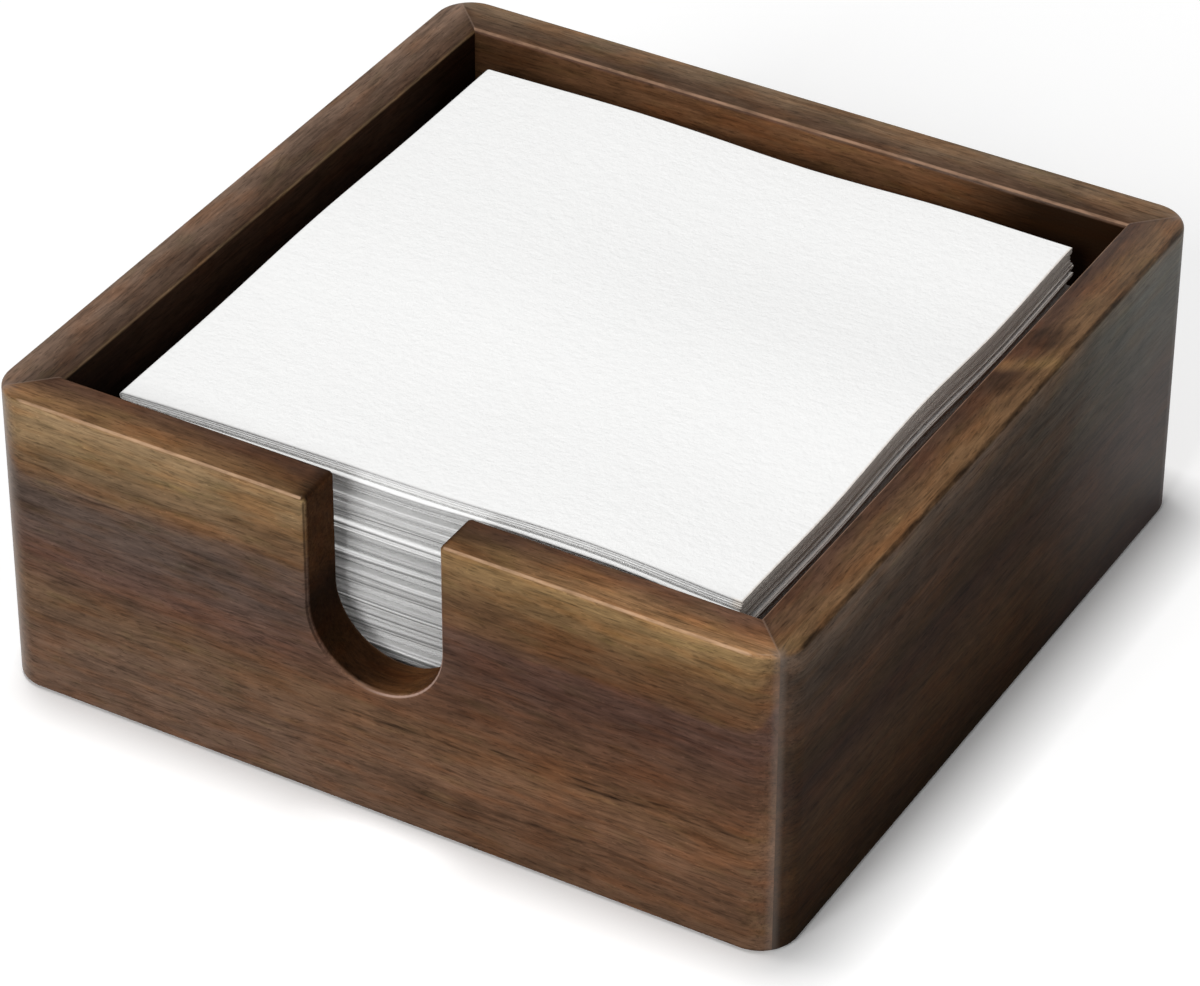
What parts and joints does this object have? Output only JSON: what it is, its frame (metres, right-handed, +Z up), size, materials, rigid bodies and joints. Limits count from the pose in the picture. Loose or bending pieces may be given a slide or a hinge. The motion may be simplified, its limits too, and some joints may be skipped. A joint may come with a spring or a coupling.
{
  "type": "napkin holder",
  "caption": "Square open-topped wooden tray with mitred walls and a U-shaped thumb notch in the front, holding a stack of folded paper napkins.",
  "frame": {"origin": "centre of the tray's footprint, on the surface that it stands on", "axes": "+Z up; the front wall with the thumb notch faces -Y; the right wall faces +X"},
  "size_m": [0.16, 0.16, 0.0635],
  "materials": {
    "walnut_boards": "dark walnut, satin oil and wax",
    "floor_panel": "dark walnut, satin",
    "tongue_wood": "plain unfinished wood",
    "napkin_paper": "soft white tissue with a fine linen emboss"
  },
  "bodies": {
    "holder": {"front_wall": "walnut_boards", "right_wall": "walnut_boards", "back_wall": "walnut_boards", "left_wall": "walnut_boards", "base_panel": "floor_panel", "corner_spline_front_right": "tongue_wood", "corner_spline_back_right": "tongue_wood", "corner_spline_back_left": "tongue_wood", "corner_spline_front_left": "tongue_wood"},
    "napkin_stack": {"napkin_01": "napkin_paper", "napkin_02": "napkin_paper", "napkin_03": "napkin_paper", "napkin_04": "napkin_paper", "napkin_05": "napkin_paper", "napkin_06": "napkin_paper", "napkin_07": "napkin_paper", "napkin_08": "napkin_paper", "napkin_09": "napkin_paper", "napkin_10": "napkin_paper", "napkin_11": "napkin_paper", "napkin_12": "napkin_paper", "napkin_13": "napkin_paper", "napkin_14": "napkin_paper", "napkin_15": "napkin_paper", "napkin_16": "napkin_paper", "napkin_17": "napkin_paper", "napkin_18": "napkin_paper", "napkin_19": "napkin_paper", "napkin_20": "napkin_paper", "napkin_21": "napkin_paper", "napkin_22": "napkin_paper", "napkin_23": "napkin_paper", "napkin_24": "napkin_paper", "napkin_25": "napkin_paper", "napkin_26": "napkin_paper", "napkin_27": "napkin_paper", "napkin_28": "napkin_paper", "napkin_29": "napkin_paper"},
    "top_napkin": {"napkin_30": "napkin_paper"}
  },
  "joints": [
    {"name": "stack_lift", "type": "slide", "parent": "holder", "child": "napkin_stack", "axis": [0, 0, 1], "range_m": [0, 0.065]},
    {"name": "top_napkin_lift", "type": "slide", "parent": "napkin_stack", "child": "top_napkin", "axis": [0, 0, 1], "range_m": [0, 0.05]}
  ]
}
